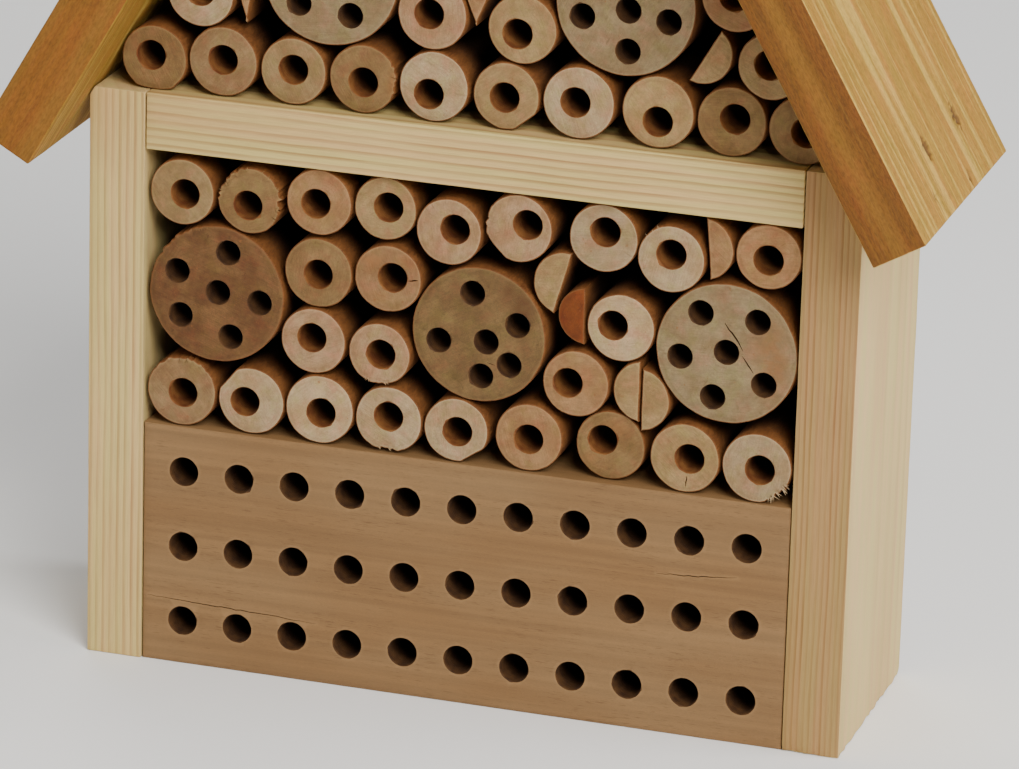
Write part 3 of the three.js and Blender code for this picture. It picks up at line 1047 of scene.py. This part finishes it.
# Some faces are lighter or darker than the others of their look.
LIGHTER, DARKER = 1.15, 0.87
LIGHTER_FACES = ("upper_stem_9", "middle_stem_3", "lower_stem_3", "gable_row_stem_7")
DARKER_FACES = ("upper_stem_1", "upper_stem_7", "middle_stem_2", "lower_stem_9", "gable_row_stem_2")
FLAWS = {
    "upper_stem_2": [("ragged", 140, 50, 1.6), ("ragged", 0, 45, 1.3), ("torn_bore",),
                     ("splinters", 110, 60, 12, 1.6), ("splinters", 0, 40, 8, 1.4)],
    "upper_stem_5": [("stain", -7, 3, 3, 4, 0.4)],
    "upper_stem_6": [("flat", 225, 0.9), ("ragged", 180, 35, 1.0), ("splinters", 180, 30, 7, 1.1)],
    "middle_stem_2": [("crack", [(6.5, 0), (9.5, 0.5)], 0.5, 5), ("stain", -5, 5, 7, 5, 0.6),
                      ("stain", 6, 6, 6, 4, 0.5), ("stain", -4, -6, 7, 3, 0.6)],
    "upper_stem_8": [("splinters", 130, 20, 5, 1.8)],
    "middle_stem_5": [("splinters", 265, 30, 9, 1.5), ("ragged", 265, 30, 0.6)],
    "lower_stem_1": [("ragged", 90, 60, 1.0), ("splinters", 90, 50, 6, 1.0)],
    "lower_stem_2": [("flat", 140, 0.8)],
    "lower_stem_4": [("flat", 268, 0.5), ("ragged", 268, 35, 1.0), ("splinters", 268, 30, 6, 1.0)],
    "lower_stem_5": [("flat", 305, 0.9)],
    "lower_stem_7": [("stain", 2, 6, 7, 4, 0.5), ("stain", -6, -5, 6, 5, 0.4)],
    "lower_stem_8": [("crack", [(1, -5.5), (0.5, -9)], 0.4, 4)],
    "lower_stem_9": [("splinters", 315, 32, 16, 2.3), ("ragged", 315, 32, 1.4)],
    "gable_row_stem_3": [("ragged", 0, 45, 1.3), ("stain", 10, 0, 4, 10, 0.8)],
    "gable_row_stem_5": [("flat", 310, 0.8)],
    "gable_row_stem_8": [("splinters", 320, 20, 4, 1.2)],
    "left_disc": [("ragged", 130, 40, 1.1), ("splinters", 130, 40, 10, 1.0)],
    "middle_disc": [("stain", 14, 9, 6, 13, 0.9), ("stain", 9, 15, 4, 7, 0.7),
                    ("stain", -14, 3, 3, 3, 0.5), ("crack", [(3, -8.5), (5.5, -9)], 0.25, 3)],
    "split_log_3": [("stain", 1, 7, 4, 4, 0.6)],
    "right_disc": [("stain", 14, -1, 9, 20, 0.6), ("crack", [(-1, 9.5), (3, 5), (5, 1.5)], 0.5, 5),
                   ("crack", [(5, 0), (8.5, -5)], 0.4, 5)],
}


DISC_LOOKS = {"left_disc": "brown", "middle_disc": "olive", "right_disc": "fawn",
              "gable_left_disc": "fawn", "gable_right_disc": "fawn"}
SPLIT_LOOKS = {"split_log_1": "straw", "split_log_2": "red", "split_log_3": "rose",
               "split_log_4": "straw", "split_log_5": "straw", "gable_split_log": "straw",
               "gable_wedge": "rose"}


def add_node_log(node, look, slot="stem_log"):
    outline, *rims = front_loops(node)
    bores = [hole_of(rim) for rim in rims]
    add_log(node + "_log", node, outline, bores, look, FLAWS.get(node, ()), slot)


def add_logs():
    for prefix, looks in STEM_LOOKS.items():
        for i, look in enumerate(looks):
            add_node_log(f"{prefix}_{i + 1}", look)
    for node, look in DISC_LOOKS.items():
        add_node_log(node, look, "disc_log")
    for node, look in SPLIT_LOOKS.items():
        add_node_log(node, look, "red_split_log" if look == "red" else "split_log")
    add_node_log("gable_corner_stem", "drab")


TOP_LOG_CLEARANCE = 0.15 * MM
TOP_LOG_SEGMENTS = 20
TOP_WEDGE_LENGTH = 22 * MM
TOP_WEDGE_HALF_ANGLE = math.radians(21)
TOP_WEDGE_SEGMENTS = 6


def add_gable_top():
    """The CAD's one pack of logs, taken apart again into a log round each hole and a wedge."""
    node = "gable_top_logs"
    outline, *rims = front_loops(node)
    # The slivers left between three logs are loops too, and much smaller than a nest hole.
    rims = [rim for rim in rims if abs(area_of(rim)) > abs(area_of(rims[0])) / 2]
    holes = sorted((hole_of(rim) for rim in rims), key=lambda hole: (-hole[0].y, hole[0].x))
    centres = [centre for centre, _ in holes]
    spacing = min((a - b).length for a in centres for b in centres if a is not b)
    radius = spacing / 2 - TOP_LOG_CLEARANCE
    chance = random.Random(5)
    for i, (centre, bore) in enumerate(holes):
        look = chance.choice(["straw", "cream", "pink", "rose", "grey"])
        own_radius = radius * chance.uniform(0.96, 1.0)
        loop = round_loop(centre, own_radius, TOP_LOG_SEGMENTS)
        shift = Vector((chance.uniform(-1, 1), chance.uniform(-1, 1))) * MM
        add_log(f"gable_top_log_{i + 1}", node, loop, [(centre + shift, bore)], look)
    tip = min(outline, key=lambda p: p.y)
    wedge = [tip]
    for i in range(TOP_WEDGE_SEGMENTS + 1):
        angle = math.pi / 2 + TOP_WEDGE_HALF_ANGLE * (2 * i / TOP_WEDGE_SEGMENTS - 1)
        wedge.append(tip + TOP_WEDGE_LENGTH * Vector((math.cos(angle), math.sin(angle))))
    add_log("gable_top_wedge", node, wedge, [], "rose", slot="split_log")


# Two hairline splits in the block's face, each as points from the face's middle.
BLOCK_SPLITS = [
    [(-101.8, -17.7), (-83.2, -18.4), (-63.4, -18.8), (-45.8, -19.6)],
    [(62.1, 12.5), (73.7, 13.2), (87.4, 14.5)],
]


def add_block():
    node = "nest_block"
    outline, *rims = front_loops(node)
    centre = middle_of(outline)
    loop = smooth_loop([(p - centre) / MM for p in outline], 1.6)
    pits = []
    for i, rim in enumerate(rims):
        hole, radius = hole_of(rim)
        pits.append(bore_rings((hole - centre) / MM, radius / MM, 100 + i, 0.3))
    for points in BLOCK_SPLITS:
        path = along_line([Vector(p) for p in points], 1.5)
        pits.append(crack_rings(path, width=0.3, depth=3, own=7))

    def relief(x, z, inwards):
        saw = uneven(0.02 * x, 0, 0.5 * z)
        return 0.06 * (1 + saw) + 0.05 * (1 + uneven(0.2 * x, 4, z)) + (
            0.1 * fade(inwards, 1.0))

    matrix, length = front_frame(node, centre)
    bm = solid(loop, pits, length, 2.2, relief, 3.0, arris=0.4)
    block = beech("beech_block", BEECH_EARLY, BEECH_LATE)
    materials = [block, DARK_HOLE_MATERIAL, block]
    add_piece("nest_block_drilled", bm, materials, matrix, node)


# Where each post's growth rings have their middle, across the board from its base's middle.
LEFT_PITH = (75, 10)
RIGHT_PITH = (-55, -18)


def add_frame_boards():
    left = planed("left_post_pine", "Z", LEFT_PITH, 2.0, PINE_EARLY, PINE_LATE, seed=3.0)
    left_side = planed("left_post_side", "Z", LEFT_PITH, 4.0, SIDE_EARLY, SIDE_LATE, seed=4.0,
                       contrast=0.45)
    right = planed("right_post_pine", "Z", RIGHT_PITH, 4.2, SIDE_EARLY, SIDE_LATE, seed=5.0,
                   contrast=0.45)
    front = planed("right_post_front", "Z", RIGHT_PITH, 1.7, FRONT_EARLY, FRONT_LATE, seed=5.0)
    crossbar = planed("crossbar_pine", "X", (8, -70), 2.2, PINE_EARLY, PINE_LATE, seed=11.0)

    def saw_torn(point):
        """The right post's foot was torn by the saw."""
        shred = max(0.0, uneven(point.x * 1.1, point.y * 1.1, 0) + 0.25)
        return 1.1 * shred * fade(point.z, 1.2)

    def add_planed(node, materials, **settings):
        name = node + "_board"
        add_board(name, upright(node), node, "planed_pine", materials, **settings)

    add_planed("left_post", [left_side, left], choose=ends_apart(1))
    add_planed("right_post", [right, front], choose=ends_apart(1), wear=saw_torn, pitch=2.5)
    add_planed("crossbar", [crossbar])


STAPLE_SIZE = (5.0, 0.8, 0.8)
STAPLE_SINK = 1.2
STAPLE_DENT = (5.0, 2.7, 1.4)
NAIL_DENT = (1.2, 1.2, 0.9)
# On the right board, up the slope and towards the back: two staples, and two nail heads.
STAPLES = [(20.5, -12.5), (20.5, 23)]
NAIL_MARKS = [(3, 9.5), (8, -24.5)]


def add_roof():
    # The sloping faces' material holds a painted sheen over the stain; the board ends' materials hold the
    # stain only.
    face = roof_material("stained_face_and_painted_sheen", ROOF_EARLY, ROOF_LATE, ROOF_PALE, 6.0)
    right = roof_material("stained_edge", ROOF_EDGE_EARLY, ROOF_EDGE_LATE, ROOF_EDGE_PALE, 8.0, 0.2)
    left = roof_material("stained_left_edge", shade(ROOF_EDGE_EARLY, 1.45),
                         shade(ROOF_EDGE_LATE, 1.35), ROOF_EDGE_PALE, 9.0, 0.6)
    dents = [(x, -y, *STAPLE_DENT) for x, y in STAPLES]
    dents += [(x, -y, *NAIL_DENT) for x, y in NAIL_MARKS]
    for node, side, edge, marks in (("left_roof_board", -1, left, ()),
                                    ("right_roof_board", 1, right, dents)):
        add_board(node + "_stained", sloping(node, side), node, "stained_pine", [face, edge],
                  choose=ends_apart(1), dents=marks, arris=0.6)


def add_staples():
    """Two staples driven below the surface of the right roof board near its eave."""
    steel = staple_steel()
    matrix = sloping("right_roof_board", 1)
    for i, (up_slope, towards_back) in enumerate(STAPLES):
        bm = bmesh.new()
        bmesh.ops.create_cube(bm, size=1.0)
        bmesh.ops.scale(bm, vec=STAPLE_SIZE, verts=bm.verts)
        bmesh.ops.bevel(bm, geom=bm.edges[:], offset=0.25, segments=3, profile=0.5, affect="EDGES")
        bmesh.ops.translate(bm, vec=(up_slope, -towards_back, -STAPLE_SINK), verts=bm.verts)
        add_piece(f"roof_staple_{i + 1}", bm, [steel], matrix)


def add_back_panel():
    node = "back_panel"
    outline = front_loops(node)[0]
    centre = middle_of(outline)
    loop = smooth_loop([(p - centre) / MM for p in outline], 4.0)

    def relief(x, z, inwards):
        return 0.05 * (1 + uneven(0.05 * x, 0.02 * z, 1)) + 0.08 * fade(inwards, 1.0)

    matrix, length = front_frame(node, centre)
    bm = solid(loop, [], length, 6.0, relief, 4.0, arris=0.4)
    ply = planed("plywood", "Z", (0, 240), 7.0, PLY_EARLY, PLY_LATE, waviness=30, seed=31.0)
    add_piece("back_panel_ply", bm, [ply, ply, ply], matrix, node)


def main():
    add_camera()
    add_surroundings()
    add_frame_boards()
    add_block()
    add_roof()
    add_staples()
    add_back_panel()
    add_logs()
    add_gable_top()


main()
boxes = {"cad": CAD_BOX, "visual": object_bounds()}
{name: [list(corner) for corner in box] for name, box in boxes.items()}
